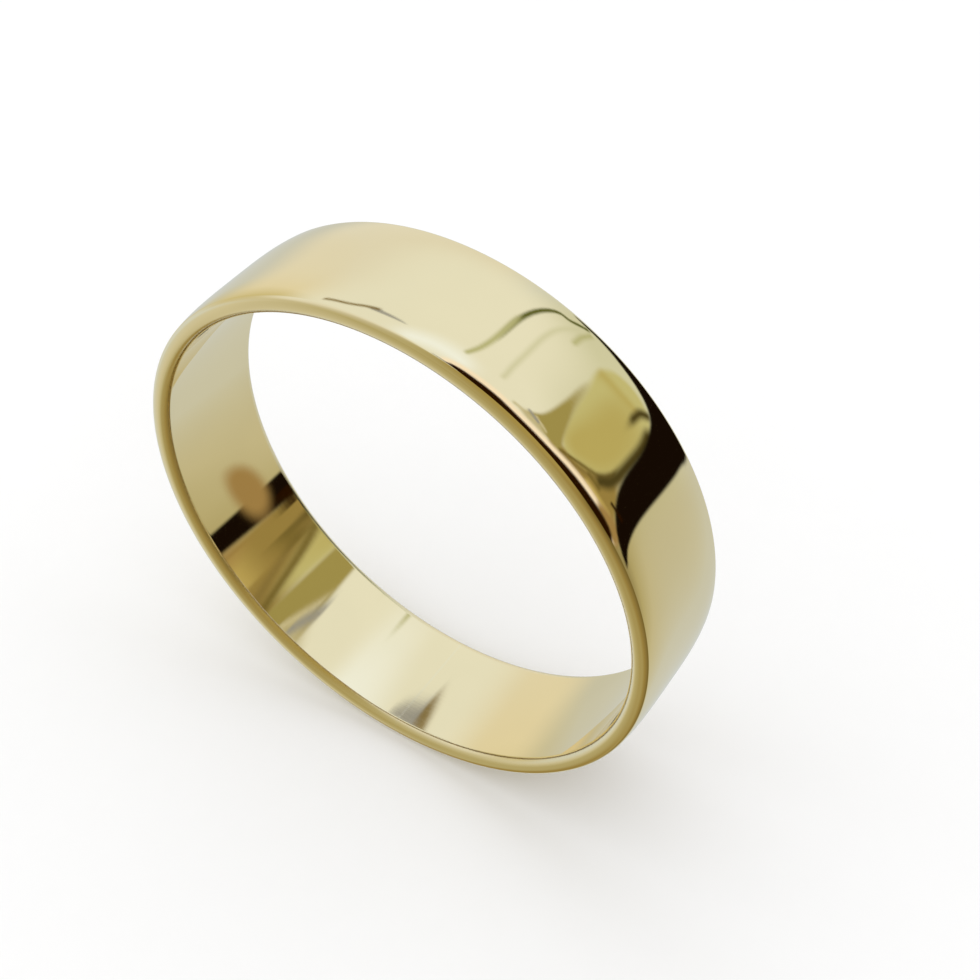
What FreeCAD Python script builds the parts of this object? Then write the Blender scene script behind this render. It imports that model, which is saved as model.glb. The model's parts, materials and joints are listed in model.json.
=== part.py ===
"""Flat wedding band: a strip of gold bent into a ring and closed with hard solder.

The ring stands on its rim: the finger bore runs along Y, the butt joint of the
strip is at the bottom (-Z), and the origin is at the centre of the bore.
Every size is in millimetres and comes from the Sizes sheet.
"""
import FreeCAD, Part
import math
import os

import Sketcher

START, END = 1, 2  # a sketch edge's end points
ORIGIN = (-1, 1)  # the sketch origin, as an edge and one of its points
V_AXIS = -2  # the sketch's vertical axis, which is the ring's middle plane

# Driving dimensions: cell alias, value in millimetres, meaning.
SIZES = (
    ("bore_diameter", 19.8, "finger bore, a US ring size 10"),
    ("wall_thickness", 0.8, "thickness of the gold strip"),
    ("band_width", 5.0, "width of the gold strip, along the bore"),
    ("shoulder_width", 1.4, "polished fall-off along each edge of the outer face"),
    ("shoulder_radius", 7.0, "curve of that fall-off"),
    ("outer_edge_radius", 0.2, "rounding between the outer face and a side"),
    ("bore_edge_radius", 0.3, "rounding between a side and the bore, for comfort"),
    ("seam_width", 0.1, "thickness of the solder in the butt joint, at the outer face"),
)

# The angle that the solder fills, seen along the bore.
SEAM_ANGLE = "2 * asin(Sizes.seam_width / (Sizes.bore_diameter + 2 * Sizes.wall_thickness))"


def make_sheet(doc):
    """Put the driving dimensions in a spreadsheet, one row each."""
    sheet = doc.addObject("Spreadsheet::Sheet", "Sizes")
    for row, (alias, value, meaning) in enumerate(SIZES, start=1):
        sheet.set("A%d" % row, alias)
        sheet.set("B%d" % row, str(value))
        sheet.setAlias("B%d" % row, alias)
        sheet.set("C%d" % row, meaning)
    doc.recompute()
    return sheet


def origin_plane(body, role):
    """Return one of the body's own origin planes by its role."""
    for feature in body.Origin.OriginFeatures:
        if feature.Role == role:
            return feature
    raise ValueError("no origin plane named " + role)


def arc(centre_x, centre_y, radius, start_degrees, end_degrees):
    """Return a counter-clockwise arc in the sketch plane."""
    centre = FreeCAD.Vector(centre_x, centre_y, 0)
    circle = Part.Circle(centre, FreeCAD.Vector(0, 0, 1), radius)
    return Part.ArcOfCircle(circle, math.radians(start_degrees), math.radians(end_degrees))


def line(start_x, start_y, end_x, end_y):
    """Return a straight edge in the sketch plane."""
    return Part.LineSegment(FreeCAD.Vector(start_x, start_y, 0), FreeCAD.Vector(end_x, end_y, 0))


def strip_section(body, sheet, name):
    """Sketch the strip's cross-section, above the axis: x is along the bore, y is radial.

    The outer face is flat across the middle and falls away in a shoulder at each
    edge. The sides are flat, and the bore is straight between its two roundings.
    """
    half_width = sheet.band_width / 2
    bore = sheet.bore_diameter / 2
    outer = bore + sheet.wall_thickness
    flat = half_width - sheet.shoulder_width
    shoulder = sheet.shoulder_radius
    edge = sheet.outer_edge_radius
    inner_edge = sheet.bore_edge_radius
    edge_x = half_width - edge
    tilt = math.degrees(math.asin((edge_x - flat) / (shoulder - edge)))
    edge_y = outer - shoulder + (shoulder - edge) * math.cos(math.radians(tilt))
    bore_x = half_width - inner_edge
    bore_y = bore + inner_edge

    sketch = body.newObject("Sketcher::SketchObject", name)
    sketch.AttachmentSupport = [(origin_plane(body, "YZ_Plane"), "")]
    sketch.MapMode = "FlatFace"

    face = sketch.addGeometry(line(flat, outer, -flat, outer))
    left_shoulder = sketch.addGeometry(arc(-flat, outer - shoulder, shoulder, 90, 90 + tilt))
    left_edge = sketch.addGeometry(arc(-edge_x, edge_y, edge, 90 + tilt, 180))
    left_side = sketch.addGeometry(line(-half_width, edge_y, -half_width, bore_y))
    left_inner = sketch.addGeometry(arc(-bore_x, bore_y, inner_edge, 180, 270))
    bore_line = sketch.addGeometry(line(-bore_x, bore, bore_x, bore))
    right_inner = sketch.addGeometry(arc(bore_x, bore_y, inner_edge, 270, 360))
    right_side = sketch.addGeometry(line(half_width, bore_y, half_width, edge_y))
    right_edge = sketch.addGeometry(arc(edge_x, edge_y, edge, 0, 90 - tilt))
    right_shoulder = sketch.addGeometry(arc(flat, outer - shoulder, shoulder, 90 - tilt, 90))

    loop = (face, left_shoulder, left_edge, left_side, left_inner,
            bore_line, right_inner, right_side, right_edge, right_shoulder)
    for here, following in zip(loop, loop[1:] + loop[:1]):
        sketch.addConstraint(Sketcher.Constraint("Tangent", here, END, following, START))
    for side in (left_side, right_side):
        sketch.addConstraint(Sketcher.Constraint("Vertical", side))
    for level in (face, bore_line):
        sketch.addConstraint(Sketcher.Constraint("Symmetric", level, START, level, END, V_AXIS))
    for left, right in ((left_shoulder, right_shoulder), (left_edge, right_edge), (left_inner, right_inner)):
        sketch.addConstraint(Sketcher.Constraint("Equal", left, right))

    bind(sketch, "outer_face", Sketcher.Constraint("DistanceY", *ORIGIN, face, START, outer),
         "Sizes.bore_diameter / 2 + Sizes.wall_thickness")
    bind(sketch, "bore_face", Sketcher.Constraint("DistanceY", *ORIGIN, bore_line, START, bore),
         "Sizes.bore_diameter / 2")
    bind(sketch, "width", Sketcher.Constraint("DistanceX", left_side, START, right_side, END, 2 * half_width),
         "Sizes.band_width")
    bind(sketch, "flat_width", Sketcher.Constraint("DistanceX", face, END, face, START, 2 * flat),
         "Sizes.band_width - 2 * Sizes.shoulder_width")
    bind(sketch, "shoulder", Sketcher.Constraint("Radius", right_shoulder, shoulder),
         "Sizes.shoulder_radius")
    bind(sketch, "outer_edge", Sketcher.Constraint("Radius", right_edge, edge),
         "Sizes.outer_edge_radius")
    bind(sketch, "bore_edge", Sketcher.Constraint("Radius", right_inner, inner_edge),
         "Sizes.bore_edge_radius")
    return sketch


def bind(sketch, name, constraint, expression):
    """Add a named dimension to the sketch and drive it from the sheet."""
    sketch.renameConstraint(sketch.addConstraint(constraint), name)
    sketch.setExpression("Constraints." + name, expression)


def sweep_section(body, sketch, name, angle):
    """Turn the section about the bore's axis, half of the angle to each side of +Z."""
    revolution = body.newObject("PartDesign::Revolution", name)
    revolution.Profile = sketch
    revolution.ReferenceAxis = (sketch, ["H_Axis"])
    revolution.Midplane = True
    revolution.setExpression("Angle", angle)
    sketch.Visibility = False
    return revolution


def make_band(doc, sheet):
    """Make the bent strip: a ring that is open at the bottom by the solder's thickness."""
    body = doc.addObject("PartDesign::Body", "Band")
    body.Label = "band"
    section = strip_section(body, sheet, "StripSection")
    sweep_section(body, section, "BentStrip", "360 deg - " + SEAM_ANGLE)
    body.Placement = FreeCAD.Placement()
    return body


def make_solder_seam(doc, sheet):
    """Make the solder in the butt joint: the strip's own section, polished flush."""
    body = doc.addObject("PartDesign::Body", "SolderSeam")
    body.Label = "solder_seam"
    section = strip_section(body, sheet, "SeamSection")
    sweep_section(body, section, "SolderFill", SEAM_ANGLE)
    half_turn = FreeCAD.Rotation(FreeCAD.Vector(0, 1, 0), 180)
    body.Placement = FreeCAD.Placement(FreeCAD.Vector(0, 0, 0), half_turn)
    return body


def check_document(doc, bodies):
    """Stop if a feature failed, a sketch is loose, or a body isn't one valid solid."""
    for item in doc.Objects:
        if "Invalid" in item.State or "Error" in item.State:
            raise RuntimeError("failed feature: " + item.Name)
        if item.isDerivedFrom("Sketcher::SketchObject") and item.solve() != 0:
            raise RuntimeError("sketch doesn't solve: " + item.Name)
    for body in bodies:
        shape = body.Shape
        if shape.isNull() or not shape.isValid() or len(shape.Solids) != 1:
            raise RuntimeError("bad shape: " + body.Label)


def main():
    doc = FreeCAD.newDocument("WeddingBand")
    sheet = make_sheet(doc)
    bodies = [make_band(doc, sheet), make_solder_seam(doc, sheet)]
    doc.recompute()
    check_document(doc, bodies)
    os.makedirs("parts", exist_ok=True)
    for body in bodies:
        body.Shape.exportStep("parts/" + body.Label + ".step")
        print("%s: %.4f mm3" % (body.Label, body.Shape.Volume))


main()
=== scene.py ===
"""Looks of the flat wedding band: polished gold on a pale floor, inside a light tent.

Everything is in metres, in the CAD model's frame: the finger bore runs along Y and
the band stands on its rim, with the solder seam at the bottom.
"""
import json
import math
import random

import bpy
import numpy as np
from mathutils import Matrix, Vector


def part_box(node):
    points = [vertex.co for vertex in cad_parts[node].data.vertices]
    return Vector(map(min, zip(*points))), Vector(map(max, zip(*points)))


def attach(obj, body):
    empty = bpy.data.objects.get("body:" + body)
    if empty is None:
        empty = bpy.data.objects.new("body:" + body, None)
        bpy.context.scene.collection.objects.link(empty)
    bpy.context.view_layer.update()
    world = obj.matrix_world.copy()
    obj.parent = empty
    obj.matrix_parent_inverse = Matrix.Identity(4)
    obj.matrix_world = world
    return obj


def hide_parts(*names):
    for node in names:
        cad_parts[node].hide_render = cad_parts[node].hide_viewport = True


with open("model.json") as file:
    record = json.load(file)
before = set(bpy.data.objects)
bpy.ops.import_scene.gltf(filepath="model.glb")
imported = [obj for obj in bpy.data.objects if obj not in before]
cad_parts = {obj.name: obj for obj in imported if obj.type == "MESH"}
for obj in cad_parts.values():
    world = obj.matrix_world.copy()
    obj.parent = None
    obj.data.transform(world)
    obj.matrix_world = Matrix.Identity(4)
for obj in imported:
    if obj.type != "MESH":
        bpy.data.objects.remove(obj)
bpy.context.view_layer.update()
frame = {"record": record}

MM = 0.001

# ---------------------------------------------------------------- sizes from the frame
band_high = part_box("band")[1]
seam_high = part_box("solder_seam")[1]
finger_bore = next(m for m in frame["record"]["mounts"] if m["name"] == "finger_bore")

OUTER_RADIUS = band_high.z
BORE_RADIUS = finger_bore["dims"]["r_mm"] * MM
HALF_WIDTH = band_high.y
BORE_EDGE = HALF_WIDTH - finger_bore["dims"]["length_mm"] * MM / 2
SEAM_HALF_ANGLE = math.asin(seam_high.x / OUTER_RADIUS)

# The crowned outer face, its soft edges, and the rims, which polishing has left slightly rounded.
OUTER_EDGE = 0.2 * MM
SHOULDER_WIDTH = 1.4 * MM
SHOULDER_RADIUS = 7.0 * MM
EDGE_TILT = math.asin((SHOULDER_WIDTH - OUTER_EDGE) / (SHOULDER_RADIUS - OUTER_EDGE))
RIM_TILT = math.radians(8)

# How many steps the meshes take along each stretch of half the section, and round each piece.
CROWN_STEPS = 20
OUTER_EDGE_STEPS = 16
RIM_STEPS = 6
BORE_EDGE_STEPS = 14
BORE_STEPS = 11
BAND_STEPS = 640
SEAM_STEPS = 4


# ---------------------------------------------------------------- the strip's cross-section
def strip_section():
    """Points (along the bore, radial) round the section, with each point's outward normal.

    It starts at the middle of the outer face and goes round past -Y, the bore and +Y.
    """
    half = []  # the -Y half, from the middle of the outer face to the middle of the bore

    # The crown: its slope grows with the cube of the distance from the middle.
    crown_half = HALF_WIDTH - OUTER_EDGE * (1 - math.sin(EDGE_TILT))
    for i in range(CROWN_STEPS):
        y = crown_half * i / CROWN_STEPS
        slope = math.tan(EDGE_TILT) * (y / crown_half) ** 3
        tilt = math.atan(slope)
        half.append((-y, OUTER_RADIUS - slope * y / 4, -math.sin(tilt), math.cos(tilt)))

    def add_arc(begin, radius, start, end, steps):
        """Add an arc whose normal turns from start to end, and return the place where it stops."""
        centre_y = begin[0] + radius * math.sin(start)
        centre_r = begin[1] - radius * math.cos(start)
        for i in range(steps):
            a = start + (end - start) * i / steps
            half.append((centre_y - radius * math.sin(a), centre_r + radius * math.cos(a),
                         -math.sin(a), math.cos(a)))
        return centre_y - radius * math.sin(end), centre_r + radius * math.cos(end)

    # The outer edge, the rim and the bore's edge: three arcs, each tangent to the one before.
    # The rim's radius makes them end exactly on the bore.
    side = math.pi / 2
    place = (-crown_half, OUTER_RADIUS - math.tan(EDGE_TILT) * crown_half / 4)
    rim_height = (place[1] - BORE_RADIUS - OUTER_EDGE * (math.cos(EDGE_TILT) - math.sin(RIM_TILT))
                  - BORE_EDGE * (1 - math.sin(RIM_TILT)))
    rim_radius = rim_height / (2 * math.sin(RIM_TILT))
    place = add_arc(place, OUTER_EDGE, EDGE_TILT, side - RIM_TILT, OUTER_EDGE_STEPS)
    place = add_arc(place, rim_radius, side - RIM_TILT, side + RIM_TILT, RIM_STEPS)
    place = add_arc(place, BORE_EDGE, side + RIM_TILT, 2 * side, BORE_EDGE_STEPS)

    for i in range(BORE_STEPS + 1):
        half.append((place[0] * (1 - i / BORE_STEPS), BORE_RADIUS, 0, -1))

    mirrored = [(-y, r, -ny, nr) for y, r, ny, nr in reversed(half[1:-1])]
    return np.array(half + mirrored)


# ---------------------------------------------------------------- hand-polished surface
POLISH_WAVES = 14
POLISH_HEIGHT = 0.0009 * MM
POLISH_TURNS = (4, 46)  # fewest and most waves in one turn round the ring
POLISH_SLANT = 2.2  # the most that a wave's phase shifts from the middle of the face to its edge
HALVING_TURNS = 8  # a wave with this many turns has half of the full height


def polish_waves(seed):
    """Seeded waves of a hand-polished face: turns round the ring, slant, phase and height."""
    draw = random.Random(seed)
    waves = []
    for _ in range(POLISH_WAVES):
        turns = draw.randint(*POLISH_TURNS)
        slant = draw.uniform(-POLISH_SLANT, POLISH_SLANT)
        phase = draw.uniform(0, 2 * math.pi)
        waves.append((turns, slant, phase, POLISH_HEIGHT * HALVING_TURNS / (HALVING_TURNS + turns)))
    return waves


OUTER_WAVES = polish_waves(seed=11)
BORE_WAVES = polish_waves(seed=23)


def polish_height(angle, y, waves):
    """Height of the polished face above its true cylinder, periodic round the ring."""
    height = np.zeros_like(angle)
    for turns, slant, phase, tall in waves:
        height += tall * np.cos(turns * angle + slant * y / HALF_WIDTH + phase)
    return height


# ---------------------------------------------------------------- ring pieces
def ring_piece(name, start, end, steps):
    """Sweep the section round the bore from one angle to another, measured from -Z towards +X."""
    section = strip_section()
    count = len(section)
    angles = np.linspace(start, end, steps + 1)
    angle, y = np.meshgrid(angles, section[:, 0], indexing="ij")
    radial = np.broadcast_to(section[:, 1], angle.shape)
    normal_y = np.broadcast_to(section[:, 2], angle.shape)
    normal_r = np.broadcast_to(section[:, 3], angle.shape)

    outside = np.clip(normal_r, 0, 1) ** 2
    inside = np.clip(-normal_r, 0, 1) ** 2

    def height(at_angle, at_y):
        """Height of the polish on the outer face and in the bore, and none on the flat sides."""
        outer = polish_height(at_angle, at_y, OUTER_WAVES)
        bore = polish_height(at_angle, at_y, BORE_WAVES)
        return outside * outer + inside * bore

    step = 0.02 * MM  # the short distance over which the slopes are taken
    here = height(angle, y)
    slope_round = (height(angle + step / OUTER_RADIUS, y) - here) / step
    slope_along = (height(angle, y + step) - here) / step

    out = np.stack([np.sin(angle), np.zeros_like(angle), -np.cos(angle)], axis=-1)
    around = np.stack([np.cos(angle), np.zeros_like(angle), np.sin(angle)], axis=-1)
    along = np.broadcast_to(np.array([0.0, 1.0, 0.0]), out.shape)
    normal = normal_r[..., None] * out + normal_y[..., None] * along
    position = radial[..., None] * out + y[..., None] * along + here[..., None] * normal
    normal = normal - slope_round[..., None] * around - (slope_along * np.abs(normal_r))[..., None] * along
    normal /= np.linalg.norm(normal, axis=-1, keepdims=True)

    faces = []
    for i in range(steps):
        for k in range(count):
            following = (k + 1) % count
            near, far = i * count, (i + 1) * count
            faces.append((near + k, far + k, far + following, near + following))
    last = steps * count
    faces.append(tuple(range(count)))
    faces.append(tuple(last + k for k in reversed(range(count))))

    mesh = bpy.data.meshes.new(name)
    mesh.from_pydata(position.reshape(-1, 3).tolist(), [], faces)
    mesh.polygons.foreach_set("use_smooth", [True] * len(faces))
    mesh.update()
    mesh.normals_split_custom_set_from_vertices(normal.reshape(-1, 3).tolist())
    piece = bpy.data.objects.new(name, mesh)
    bpy.context.scene.collection.objects.link(piece)
    return piece


# ---------------------------------------------------------------- materials
GOLD = (0.90, 0.785, 0.51)
SOLDER = (0.895, 0.79, 0.53)
EDGE_ROUGHNESS = 0.19  # how much softer the polish is on the rounding at the bore's ends
DARKER_TONE = 0.975  # the darker clouds of tone, as a share of the full colour
GLOSS_RANGE = 0.25  # how far the roughness varies with the buffing lines, each way
LINE_SCALE = (500, 30000, 30000)  # buffing lines about 2 mm long and 0.03 mm wide
LINE_NOISE = (0.3, 0.7)  # the part of the noise's range over which the gloss changes
CLOUD_SCALE = 260.0  # clouds of tone a few millimetres across
CLOUD_NOISE = (0.35, 0.65)  # the part of the noise's range over which the tone changes
EDGE_FROM = 0.01 * MM  # how far before the bore's end the softer polish starts
EDGE_FULL = 0.04 * MM  # and how far past it the softer polish is full
EDGE_FADE = (0.7, 0.9)  # the shares of the rounding's height between which it fades out


def add_node(tree, kind, **settings):
    """Add a node and set its properties and its unlinked inputs."""
    node = tree.nodes.new(kind)
    for key, value in settings.items():
        if key in node.inputs:
            node.inputs[key].default_value = value
        else:
            setattr(node, key, value)
    return node


def math_node(tree, operation, *sources):
    """Add a math node whose inputs are output sockets or numbers, and return its output."""
    node = tree.nodes.new("ShaderNodeMath")
    node.operation = operation
    for socket, source in zip(node.inputs, sources):
        if isinstance(source, (int, float)):
            socket.default_value = source
        else:
            tree.links.new(source, socket)
    return node.outputs[0]


def rise(tree, source, start, end, low=0.0, high=1.0):
    """Return a smooth rise from low to high while the source goes from start to end."""
    node = tree.nodes.new("ShaderNodeMapRange")
    node.interpolation_type = "SMOOTHSTEP"
    for name, value in (("From Min", start), ("From Max", end), ("To Min", low), ("To Max", high)):
        node.inputs[name].default_value = value
    tree.links.new(source, node.inputs["Value"])
    return node.outputs[0]


def polished_gold(name, colour, roughness, scratch):
    """Polished gold: faint buffing lines round the ring, slow changes of tone, softer inner edges."""
    material = bpy.data.materials.new(name)
    material.use_nodes = True
    tree = material.node_tree
    link = tree.links.new
    shader = tree.nodes["Principled BSDF"]
    shader.inputs["Metallic"].default_value = 1.0

    # Cylinder coordinates: distance round the ring, along the bore, and out from its axis.
    place = add_node(tree, "ShaderNodeTexCoord")
    split = add_node(tree, "ShaderNodeSeparateXYZ")
    link(place.outputs["Object"], split.inputs[0])
    x, y, z = split.outputs
    round_way = math_node(tree, "MULTIPLY", math_node(tree, "ARCTAN2", x, z), OUTER_RADIUS)
    x_squared = math_node(tree, "MULTIPLY", x, x)
    out_way = math_node(tree, "SQRT", math_node(tree, "MULTIPLY_ADD", z, z, x_squared))
    wrapped = add_node(tree, "ShaderNodeCombineXYZ")
    for source, socket in zip((round_way, y, out_way), wrapped.inputs):
        link(source, socket)

    # Buffing lines: noise stretched round the ring.
    stretch = add_node(tree, "ShaderNodeMapping", Scale=LINE_SCALE)
    link(wrapped.outputs[0], stretch.inputs["Vector"])
    lines = add_node(tree, "ShaderNodeTexNoise", Scale=1.0, Detail=3.0, Roughness=0.6)
    link(stretch.outputs[0], lines.inputs["Vector"])

    # Tone: soft clouds.
    clouds = add_node(tree, "ShaderNodeTexNoise", Scale=CLOUD_SCALE, Detail=2.0, Roughness=0.5)
    link(place.outputs["Object"], clouds.inputs["Vector"])
    tone = add_node(tree, "ShaderNodeValToRGB")
    darker, full = tone.color_ramp.elements
    darker.position = CLOUD_NOISE[0]
    darker.color = [c * DARKER_TONE for c in colour] + [1]
    full.position = CLOUD_NOISE[1]
    full.color = [*colour, 1]
    link(clouds.outputs["Fac"], tone.inputs[0])
    link(tone.outputs["Color"], shader.inputs["Base Color"])

    # Gloss: it varies with the lines, and the buff doesn't reach all of the bore's end roundings.
    glossiest, dullest = roughness * (1 - GLOSS_RANGE), roughness * (1 + GLOSS_RANGE)
    gloss = rise(tree, lines.outputs["Fac"], *LINE_NOISE, glossiest, dullest)
    bore_end = HALF_WIDTH - BORE_EDGE
    past_bore = rise(tree, math_node(tree, "ABSOLUTE", y), bore_end - EDGE_FROM, bore_end + EDGE_FULL)
    fade_from, fade_to = (BORE_RADIUS + share * BORE_EDGE for share in EDGE_FADE)
    near_side = rise(tree, out_way, fade_from, fade_to, 1.0, 0.0)
    edge = math_node(tree, "MULTIPLY", past_bore, near_side)
    link(math_node(tree, "MULTIPLY_ADD", edge, EDGE_ROUGHNESS, gloss), shader.inputs["Roughness"])

    bump = add_node(tree, "ShaderNodeBump", Strength=scratch, Distance=0.01 * MM)
    link(lines.outputs["Fac"], bump.inputs["Height"])
    link(bump.outputs["Normal"], shader.inputs["Normal"])
    return material


band = ring_piece("gold_band", SEAM_HALF_ANGLE, 2 * math.pi - SEAM_HALF_ANGLE, BAND_STEPS)
band.data.materials.append(polished_gold("polished_gold", GOLD, roughness=0.03, scratch=0.02))
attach(band, "root")
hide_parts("band")

seam = ring_piece("solder_joint", -SEAM_HALF_ANGLE, SEAM_HALF_ANGLE, SEAM_STEPS)
seam.data.materials.append(polished_gold("polished_solder", SOLDER, roughness=0.045, scratch=0.03))
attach(seam, "root")
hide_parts("solder_seam")


# ---------------------------------------------------------------- the light tent
# Directions round the band are in degrees: azimuth 0 is towards -Y and 90 towards +X.
TENT_RADIUS = 0.4
TENT_STEP = 1.0
FINE_STEP = 0.25
FINE_ELEVATIONS = (-8, 72)  # where the tent's mesh takes fine steps, because most of its edges are there
FINE_AZIMUTHS = (105, 185)
CURVE_STEP = 0.2  # the share of the way between two points at which a curve is worked out

# The glowing patch that stands for a lit fold of cloth close behind the band: its middle, the azimuth it
# faces, its size and how far it leans.
FOLD_PLACE = (8.4 * MM, 10.4 * MM, -5.8 * MM)
FOLD_AZIMUTH = 120
FOLD_HALF_WIDTH = 1.3 * MM
FOLD_HALF_HEIGHT = 4.5 * MM
FOLD_SLANT = -0.4 * MM
FOLD_SOLID = 0.45  # how far from its middle to its edge it is solid, before it fades out
FOLD_COLUMNS = 25
FOLD_ROWS = 49


def smooth(value, low, high):
    """0 below low, 1 above high, and a smooth step between."""
    t = np.clip((value - low) / (high - low), 0, 1)
    return t * t * (3 - 2 * t)


def walls(azimuth, colours):
    """Blend the walls' paints round the tent. Each is (azimuth, paint), the first at 0."""
    places = [a for a, _ in colours] + [colours[0][0] + 360]
    bands = [np.interp(azimuth, places, [c[i] for _, c in colours] + [colours[0][1][i]]) for i in range(3)]
    return np.stack(bands, axis=-1)


def lay(colour, mask, paint_colour):
    """Lay paint over the tent's colour, as thickly as the mask says."""
    return colour + mask[..., None] * (np.array(paint_colour) - colour)


def turn_from(azimuth, start):
    """Turn from one azimuth to another, between -180 and 180 degrees."""
    return (azimuth - start + 180) % 360 - 180


def patch(azimuth, elevation, centre, size, soft):
    """Mask of a soft-edged rectangle, with its centre, size and softness in degrees."""
    flat = math.cos(math.radians(centre[1]))
    across = np.abs(turn_from(azimuth, centre[0]) * flat) - size[0] / 2
    up = np.abs(elevation - centre[1]) - size[1] / 2
    return (1 - smooth(across, -soft, soft)) * (1 - smooth(up, -soft, soft))


def curve(points, closed=False):
    """Smooth route through a few (azimuth, elevation) points, as a Catmull-Rom spline."""
    p = [np.array(point, float) for point in points]
    p = [p[-1], *p, p[0], p[1]] if closed else [2 * p[0] - p[1], *p, 2 * p[-1] - p[-2]]
    route = []
    for before, start, end, after in zip(p, p[1:], p[2:], p[3:]):
        for t in np.arange(0, 1, CURVE_STEP):
            bend = 2 * before - 5 * start + 4 * end - after + t * (3 * (start - end) + after - before)
            route.append(start + t / 2 * (end - before + t * bend))
    return route if closed else [*route, p[-2]]


def strip(azimuth, elevation, route, width, soft):
    """Mask of a soft-edged strip that follows a smooth route."""
    nearest = np.full(azimuth.shape, 1e9)
    route = curve(route)
    for (a0, e0), (a1, e1) in zip(route, route[1:]):
        flat = math.cos(math.radians((e0 + e1) / 2))
        run, climb = (a1 - a0) * flat, e1 - e0
        across = turn_from(azimuth, a0) * flat
        up = elevation - e0
        t = np.clip((across * run + up * climb) / (run * run + climb * climb), 0, 1)
        nearest = np.minimum(nearest, np.hypot(across - t * run, up - t * climb))
    return 1 - smooth(nearest, width / 2 - soft, width / 2 + soft)


def card(azimuth, elevation, corners, soft):
    """Mask of a soft-edged card with a smooth outline through its corners."""
    outline = curve(corners, closed=True)
    flat = math.cos(math.radians(sum(e for _, e in corners) / len(corners)))
    first = corners[0][0]
    x = turn_from(azimuth, first) * flat
    y = elevation
    xs = [turn_from(a, first) * flat for a, _ in outline]
    ys = [e for _, e in outline]
    nearest = np.full(azimuth.shape, 1e9)
    inside = np.zeros(azimuth.shape, bool)
    for k in range(len(outline)):
        x0, y0, x1, y1 = xs[k - 1], ys[k - 1], xs[k], ys[k]
        run, climb = x1 - x0, y1 - y0
        t = np.clip(((x - x0) * run + (y - y0) * climb) / (run * run + climb * climb), 0, 1)
        nearest = np.minimum(nearest, np.hypot(x - x0 - t * run, y - y0 - t * climb))
        if climb:
            inside ^= ((y0 > y) != (y1 > y)) & (x < x0 + run * (y - y0) / climb)
    return 1 - smooth(np.where(inside, -nearest, nearest), -soft, soft)


# The tent's paints, glowing colours with the tent's light and shade painted in: linear red, green and blue.
SKYLIGHT = (0.98, 1.10, 1.35)
SUNLIT = (1.06, 0.97, 0.95)
WHITE = (0.88, 0.93, 0.96)
PEARL = (0.83, 0.84, 0.82)
IVORY = (0.83, 0.79, 0.65)
SILVER = (0.72, 0.78, 0.83)
LINEN = (0.70, 0.75, 0.67)
MIST = (0.64, 0.67, 0.66)
SLATE = (0.34, 0.36, 0.42)
CREAM = (0.68, 0.66, 0.53)
OAT = (0.60, 0.58, 0.44)
KHAKI = (0.60, 0.60, 0.33)
SAGE = (0.52, 0.56, 0.36)
WHEAT = (0.66, 0.60, 0.35)
SAND = (0.50, 0.46, 0.27)
STRAW = (0.42, 0.36, 0.17)
AMBER = (0.41, 0.33, 0.12)
OLIVE = (0.38, 0.34, 0.13)
HONEY = (0.56, 0.46, 0.18)
MUSTARD = (0.53, 0.48, 0.20)
COPPER = (0.38, 0.26, 0.11)
BARK = (0.34, 0.26, 0.09)
BROWN = (0.25, 0.19, 0.07)
UMBER = (0.18, 0.14, 0.04)
MOSS = (0.11, 0.13, 0.02)
# A near-black brown, the painted shade in the tent's creases.
CREASE_SHADE = (0.08, 0.065, 0.02)
DARK = (0.02, 0.006, 0.0)
BLACK = (0.008, 0.004, 0.002)

# The cloth walls round the tent, below and above the horizon, and its white top: (azimuth, paint).
# The walls' and the top's paints are painted light and shade: pale on the lit sides, and darker from
# azimuth 0 round to about 110.
LOWER_WALL = [(0, STRAW), (40, BARK), (80, BROWN), (106, UMBER), (116, SAND), (124, OAT), (145, MIST),
              (236, MIST), (245, WHEAT), (260, SILVER), (290, SILVER), (312, CREAM), (328, SAND),
              (345, STRAW)]
UPPER_WALL = [(0, STRAW), (40, BARK), (70, BROWN), (100, UMBER), (120, SAND), (140, LINEN), (168, LINEN),
              (182, SILVER), (195, PEARL), (228, PEARL), (240, IVORY), (246, WHEAT), (300, CREAM),
              (340, SAND)]
TENT_TOP = [(0, STRAW), (25, AMBER), (105, AMBER), (125, WHITE), (240, WHITE), (290, PEARL), (340, SAND)]
HORIZON = (-14, 6)  # the lower walls give way to the upper walls between these elevations
TOP_EDGE = (30, 50)  # and the walls give way to the top between these, at its highest side
TOP_HIGHEST_SIDE = 160
TOP_DROOP = 0.15  # degrees lower for each degree away from its highest side


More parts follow.
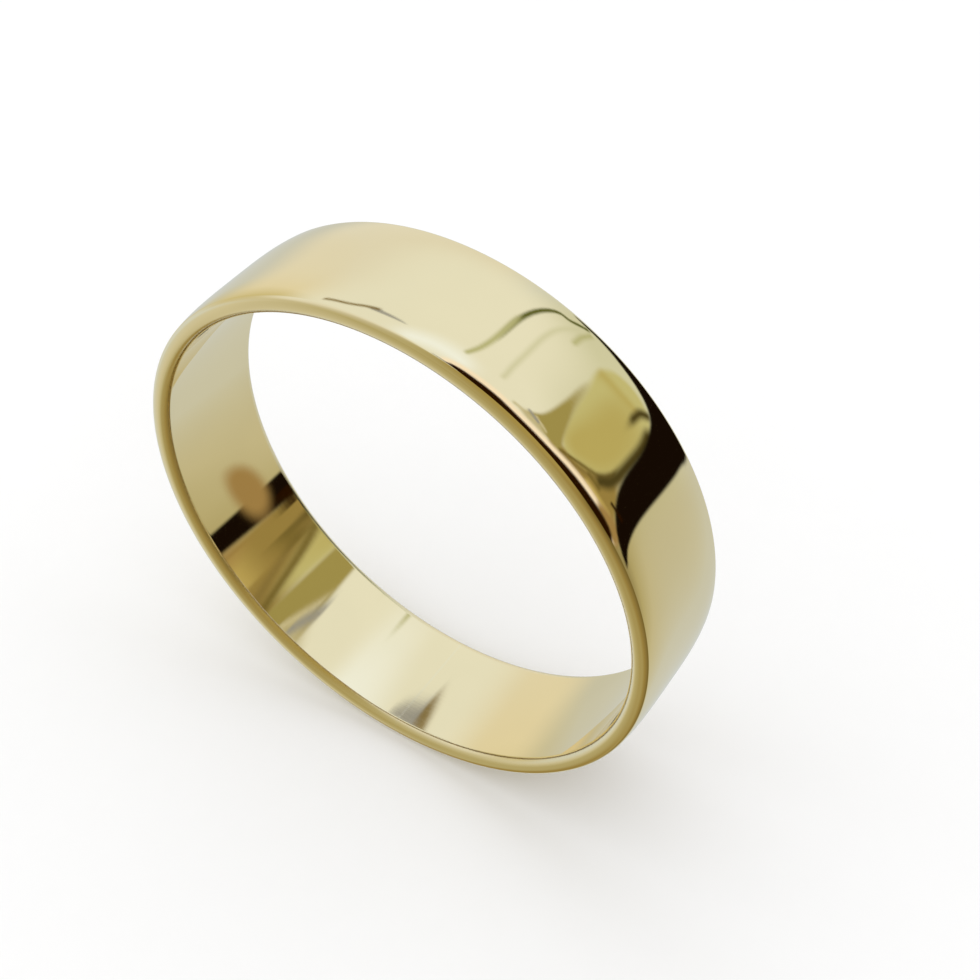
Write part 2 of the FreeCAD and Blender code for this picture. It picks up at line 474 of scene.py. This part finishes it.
def tent_paint(azimuth, elevation):
    """Glowing colour of the tent in each direction, with the tent's light and shade painted in."""
    a, e = azimuth, elevation
    # The walls change over near the horizon. The top comes lower away from its highest side.
    colour = walls(a, LOWER_WALL)
    colour = lay(colour, smooth(e, *HORIZON), walls(a, UPPER_WALL))
    raised = e + TOP_DROOP * np.abs(a - TOP_HIGHEST_SIDE)
    colour = lay(colour, smooth(raised, *TOP_EDGE), walls(a, TENT_TOP))
    # A shaded patch low at the front, and a bluish glow high at the back.
    colour = lay(colour, patch(a, e, centre=(322, -70), size=(26, 20), soft=5), BARK)
    colour = lay(colour, patch(a, e, centre=(192, 64), size=(26, 8), soft=5), SKYLIGHT)

    def lay_strip(route, width, soft, shade):
        """Lay a strip of one paint along a route."""
        nonlocal colour
        colour = lay(colour, strip(a, e, route, width, soft), shade)

    def lay_card(corners, soft, shade):
        """Lay a card of one paint."""
        nonlocal colour
        colour = lay(colour, card(a, e, corners, soft), shade)

    # The open side's front strip, in the shade of its hem, and a lit fold in it.
    lay_card([(116, 9), (117, 24), (120, 38), (124, 41), (127, 30), (128, 12)], 1.5, BARK)
    lay_strip([(117.5, 11), (118.3, 17), (119.5, 23)], 2.2, 1.0, HONEY)
    # A khaki card in two lobes, with painted shade over its left lobe and in the fold between them, and an
    # olive flap over it.
    lay_card([(124, 31), (128, 35), (138, 34), (145, 33), (148, 26), (146, 18), (139, 12), (131, 11),
              (126, 19)], 1.6, KHAKI)
    lay_card([(126, 30), (131, 34), (137, 31), (138, 23), (132, 14), (127, 20)], 3.5, MUSTARD)
    lay_strip([(138, 18), (141, 25), (145, 31)], 2.2, 1.8, MUSTARD)
    lay_card([(122, 36), (124, 41), (128, 46), (134, 49.5), (137, 43), (142.5, 36), (139, 33.5), (130, 35)],
             1.0, OLIVE)
    lay_card([(124, 43), (128, 49), (134, 51), (134, 46.5), (129, 43.5)], 2.0, OAT)
    lay_strip([(128, 42), (131.5, 44), (134, 45.2)], 0.8, 0.5, CREAM)
    lay_strip([(131, 45), (133, 46), (136, 47.5)], 1.2, 0.6, SLATE)
    lay_strip([(131, 48.5), (134, 50), (137, 53)], 1.4, 1.0, OAT)
    # Dark folds in front of the khaki card: painted shade in the cloth's creases.
    lay_strip([(123, 36), (124.3, 28), (126, 19), (129, 14.5)], 1.4, 0.8, UMBER)
    lay_strip([(121.5, 36), (122.5, 25), (129, 12)], 1.2, 0.9, BROWN)
    lay_strip([(122, 18), (123.5, 23)], 1.2, 1.0, UMBER)
    lay_strip([(125, 18), (127.5, 14), (131, 12), (134, 12)], 3.6, 1.6, CREASE_SHADE)

    # The bright hem of the open side, copper at its foot, and the dark room past it.
    hem = [(112, 7), (115.5, 25), (118.5, 41), (124.5, 51.5), (134, 58.5), (150, 65.5), (175, 71)]
    lay_strip(hem, 6.0, 1.5, SUNLIT)
    lay_card([(110, 4), (113, 15), (117, 16), (118.5, 8), (116, 3)], 2.0, COPPER)
    lay_card([*hem, (200, 80), (100, 80), (96, 62), (97, 40), (100, 10)], 0.8, DARK)

    # The black card beside the band, with painted shade in a crease at its top and in a dark fold at its
    # end.
    lay_strip([(140, 13), (138.5, 16.5), (136, 18.6)], 2.6, 1.3, CREASE_SHADE)
    lay_card([(112, -6), (114, 3), (121, 8.5), (132, 11.5), (143, 12.5), (158, 21.5), (172, 26), (172, 5),
              (152, -10), (137, -5), (127, -2), (118, -2.5)], 0.9, BLACK)
    lay_strip([(121.7, 5), (122.2, 11)], 1.1, 0.5, DARK)

    # The tent's seams: a dark one that bends, and fainter ones.
    lay_strip([(165, 27), (167, 33), (171, 36), (173, 49)], 1.7, 0.8, MOSS)
    lay_strip([(173.5, 49), (174.5, 54), (176, 58)], 1.8, 1.0, SAGE)
    lay_strip([(156, 38), (159, 34), (162, 28)], 1.6, 1.2, SAGE)
    lay_strip([(155, 53), (161, 46), (163, 31)], 1.6, 1.3, LINEN)
    # A folded edge on the left: a painted grey highlight above and painted brown shade below.
    lay_card([(213, 56.5), (221, 52.7), (227, 48), (228, 45.5), (224, 47), (221.5, 50)], 0.5, SLATE)
    lay_strip([(224.5, 47.6), (228, 45.5), (234, 42), (239, 35)], 1.5, 0.8, BROWN)
    return colour


def show_in_reflections(name, place, quads, colour, cover):
    """Make a glowing stage surface that only glossy rays see, as opaque as cover says."""
    mesh = bpy.data.meshes.new(name)
    mesh.from_pydata(place.reshape(-1, 3).tolist(), [], quads.tolist())
    layer = mesh.color_attributes.new("tent_paint", "FLOAT_COLOR", "POINT")
    layer.data.foreach_set("color", np.concatenate([colour, cover[..., None]], axis=-1).ravel())

    material = bpy.data.materials.new(name)
    material.use_nodes = True
    tree = material.node_tree
    tree.nodes.clear()
    painted = add_node(tree, "ShaderNodeAttribute", attribute_name="tent_paint")
    glow = add_node(tree, "ShaderNodeEmission")
    clear = add_node(tree, "ShaderNodeBsdfTransparent")
    mix = add_node(tree, "ShaderNodeMixShader")
    output = add_node(tree, "ShaderNodeOutputMaterial")
    tree.links.new(painted.outputs["Color"], glow.inputs["Color"])
    tree.links.new(painted.outputs["Alpha"], mix.inputs["Fac"])
    tree.links.new(clear.outputs[0], mix.inputs[1])
    tree.links.new(glow.outputs[0], mix.inputs[2])
    tree.links.new(mix.outputs[0], output.inputs["Surface"])
    material.cycles.emission_sampling = "NONE"
    mesh.materials.append(material)

    surface = bpy.data.objects.new(name, mesh)
    surface.visible_camera = False
    surface.visible_diffuse = False
    surface.visible_transmission = False
    surface.visible_volume_scatter = False
    surface.visible_shadow = False
    bpy.context.scene.collection.objects.link(surface)


def make_tent():
    """A sphere round the band that only its reflections see."""

    def places(start, fine, stop):
        """Angles from start to just before stop, in steps that are shorter over the fine stretch."""
        before = np.arange(start, fine[0], TENT_STEP)
        closer = np.arange(*fine, FINE_STEP)
        after = np.arange(fine[1], stop, TENT_STEP)
        return np.concatenate([before, closer, after])

    rows = places(-90, FINE_ELEVATIONS, 90 + TENT_STEP)
    columns = places(0, FINE_AZIMUTHS, 360)
    elevation, azimuth = np.meshgrid(rows, columns, indexing="ij")
    el, az = np.radians(elevation), np.radians(azimuth)
    place = TENT_RADIUS * np.stack([np.sin(az) * np.cos(el), -np.cos(az) * np.cos(el), np.sin(el)], axis=-1)
    index = np.arange(azimuth.size).reshape(azimuth.shape)
    right = np.roll(index, -1, axis=1)
    quads = np.stack([index[:-1], right[:-1], right[1:], index[1:]], axis=-1).reshape(-1, 4)
    show_in_reflections("light_tent", place, quads, tent_paint(azimuth, elevation), np.ones(azimuth.shape))


def make_fold():
    """A glowing copper patch that stands for a lit fold of cloth close behind the band, seen only in
    reflections, in the bore.
    """
    across, up = np.meshgrid(np.linspace(-1, 1, FOLD_COLUMNS), np.linspace(-1, 1, FOLD_ROWS), indexing="ij")
    a = math.radians(FOLD_AZIMUTH)
    sideways = np.array([math.cos(a), math.sin(a), 0])
    along = across[..., None] * FOLD_HALF_WIDTH + up[..., None] * FOLD_SLANT
    place = np.array(FOLD_PLACE) + along * sideways + up[..., None] * FOLD_HALF_HEIGHT * np.array([0, 0, 1])
    cover = 1 - smooth(np.hypot(across, up), FOLD_SOLID, 1)
    index = np.arange(across.size).reshape(across.shape)
    corners = [index[:-1, :-1], index[1:, :-1], index[1:, 1:], index[:-1, 1:]]
    quads = np.stack(corners, axis=-1).reshape(-1, 4)
    show_in_reflections("glowing_copper_fold", place, quads, np.broadcast_to(COPPER, (*across.shape, 3)), cover)


make_tent()
make_fold()


# ---------------------------------------------------------------- floor and soft light
FLOOR_HALF = 1.4
FLOOR_GAP = 0.002 * MM  # so that the band doesn't touch the floor
FLOOR_DARKER = 0.915
FLOOR_LIGHTER = 0.925
FLOOR_GRAIN = 900.0  # the paper's grain, about a millimetre across
WORLD_STRENGTH = 1.09
SOFTBOX_AZIMUTH = 250
SOFTBOX_ELEVATION = 60
SOFTBOX_DISTANCE = 0.3
SOFTBOX_SIZE = 0.3
SOFTBOX_POWER = 0.03


def make_floor():
    """A pale matt floor under the band."""
    mesh = bpy.data.meshes.new("floor")
    level = -OUTER_RADIUS - FLOOR_GAP
    corners = [(x * FLOOR_HALF, y * FLOOR_HALF, level) for x, y in ((-1, -1), (1, -1), (1, 1), (-1, 1))]
    mesh.from_pydata(corners, [], [(0, 1, 2, 3)])
    floor = bpy.data.objects.new("floor", mesh)
    bpy.context.scene.collection.objects.link(floor)
    material = bpy.data.materials.new("floor_paper")
    material.use_nodes = True
    tree = material.node_tree
    shader = tree.nodes["Principled BSDF"]
    shader.inputs["Roughness"].default_value = 1.0
    shader.inputs["Specular IOR Level"].default_value = 0.0
    place = add_node(tree, "ShaderNodeTexCoord")
    grain = add_node(tree, "ShaderNodeTexNoise", Scale=FLOOR_GRAIN, Detail=2.0)
    tone = add_node(tree, "ShaderNodeValToRGB")
    tone.color_ramp.elements[0].color = (FLOOR_DARKER, FLOOR_DARKER, FLOOR_DARKER, 1)
    tone.color_ramp.elements[1].color = (FLOOR_LIGHTER, FLOOR_LIGHTER, FLOOR_LIGHTER, 1)
    tree.links.new(place.outputs["Object"], grain.inputs["Vector"])
    tree.links.new(grain.outputs["Fac"], tone.inputs[0])
    tree.links.new(tone.outputs["Color"], shader.inputs["Base Color"])
    mesh.materials.append(material)
    floor.visible_glossy = False


def make_world():
    """White surroundings for the camera and the floor; the band sees the tent instead."""
    world = bpy.data.worlds.new("studio")
    world.use_nodes = True
    background = world.node_tree.nodes["Background"]
    background.inputs["Color"].default_value = (1, 1, 1, 1)
    background.inputs["Strength"].default_value = WORLD_STRENGTH
    bpy.context.scene.world = world
    world.cycles_visibility.glossy = False


def direction(azimuth, elevation):
    """Unit vector from the band towards that direction, in degrees."""
    a, e = math.radians(azimuth), math.radians(elevation)
    return Vector((math.sin(a) * math.cos(e), -math.cos(a) * math.cos(e), math.sin(e)))


def make_softbox():
    """A square soft light, aimed at the band, for the floor's shadow."""
    towards = direction(SOFTBOX_AZIMUTH, SOFTBOX_ELEVATION)
    lamp = bpy.data.lights.new("key_softbox", "AREA")
    lamp.shape = "SQUARE"
    lamp.size = SOFTBOX_SIZE
    lamp.energy = SOFTBOX_POWER
    box = bpy.data.objects.new("key_softbox", lamp)
    box.location = towards * SOFTBOX_DISTANCE
    box.rotation_mode = "QUATERNION"
    box.rotation_quaternion = towards.to_track_quat("Z", "Y")
    box.visible_glossy = False
    bpy.context.scene.collection.objects.link(box)


make_floor()
make_world()
make_softbox()


# ---------------------------------------------------------------- camera
CAMERA_AZIMUTH = 32.96
CAMERA_ELEVATION = 45.25
CAMERA_DEPTH = 54.10 * MM  # from the camera to the bore's centre, along the view
CAMERA_ASIDE = 2.455 * MM  # how far the camera stands to the right of the bore's centre
CAMERA_ABOVE = 0.857 * MM  # and how far above it, along the view's own upright
LENS = 54.81
SENSOR = 36.0


def make_camera():
    """The camera at the photograph's viewing angle, with no roll."""
    back = direction(CAMERA_AZIMUTH, CAMERA_ELEVATION)
    a = math.radians(CAMERA_AZIMUTH)
    right = Vector((math.cos(a), math.sin(a), 0))
    up = back.cross(right)
    camera = bpy.data.cameras.new("camera")
    camera.lens = LENS
    camera.sensor_width = SENSOR
    camera.clip_start = 1 * MM
    camera.clip_end = 5.0
    obj = bpy.data.objects.new("camera", camera)
    turn = Matrix((right, up, back)).transposed()
    place = back * CAMERA_DEPTH + right * CAMERA_ASIDE + up * CAMERA_ABOVE
    obj.matrix_world = Matrix.LocRotScale(place, turn, None)
    bpy.context.scene.collection.objects.link(obj)
    bpy.context.scene.camera = obj


make_camera()
bpy.context.scene.view_settings.view_transform = "Standard"
